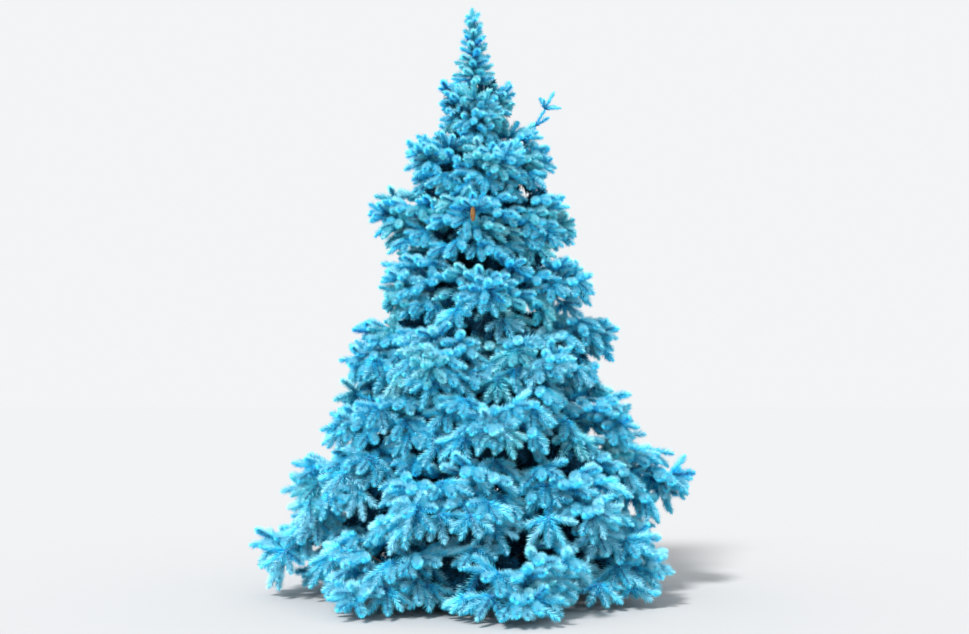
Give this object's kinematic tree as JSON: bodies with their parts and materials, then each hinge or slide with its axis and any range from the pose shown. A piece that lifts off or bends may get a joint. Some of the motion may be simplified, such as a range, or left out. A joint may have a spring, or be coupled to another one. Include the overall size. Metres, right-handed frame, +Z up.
{
  "type": "blue spruce tree",
  "caption": "Young blue spruce tree, a rooted conifer with a flared tapering trunk, tiers of boughs and silvery blue foliage from the ground up to a slim leader.",
  "frame": {"origin": "the middle of the flat cut under the trunk, at ground level", "axes": "+Z up along the trunk, -Y towards the side that the picture shows, +X to the picture's right"},
  "size_m": [3.0368, 2.8497, 4],
  "materials": {
    "bark": "rough",
    "needles": "matt with a waxy bloom"
  },
  "bodies": {
    "root": {"trunk": "bark", "bough_1_1": "bark", "bough_1_2": "bark", "bough_1_3": "bark", "bough_1_4": "bark", "bough_1_5": "bark", "bough_1_6": "bark", "bough_1_7": "bark", "bough_2_1": "bark", "bough_2_2": "bark", "bough_2_3": "bark", "bough_2_4": "bark", "bough_2_5": "bark", "bough_2_6": "bark", "bough_3_1": "bark", "bough_3_2": "bark", "bough_3_3": "bark", "bough_3_4": "bark", "bough_3_5": "bark", "foliage_1_1": "needles", "foliage_1_2": "needles", "foliage_1_3": "needles", "foliage_1_4": "needles", "foliage_1_5": "needles", "foliage_1_6": "needles", "foliage_1_7": "needles", "foliage_2_1": "needles", "foliage_2_2": "needles", "foliage_2_3": "needles", "foliage_2_4": "needles", "foliage_2_5": "needles", "foliage_2_6": "needles", "foliage_3_1": "needles", "foliage_3_2": "needles", "foliage_3_3": "needles", "foliage_3_4": "needles", "foliage_3_5": "needles", "foliage_4_1": "needles", "foliage_4_2": "needles", "foliage_4_3": "needles", "foliage_4_4": "needles", "foliage_4_5": "needles", "foliage_4_6": "needles", "foliage_5_1": "needles", "foliage_5_2": "needles", "foliage_5_3": "needles", "foliage_5_4": "needles", "foliage_5_5": "needles", "foliage_6_1": "needles", "foliage_6_2": "needles", "foliage_6_3": "needles", "foliage_6_4": "needles", "foliage_7_1": "needles", "foliage_7_2": "needles", "foliage_7_3": "needles", "foliage_7_4": "needles", "foliage_8_1": "needles", "foliage_8_2": "needles", "foliage_8_3": "needles", "leader": "needles"}
  },
  "joints": []
}
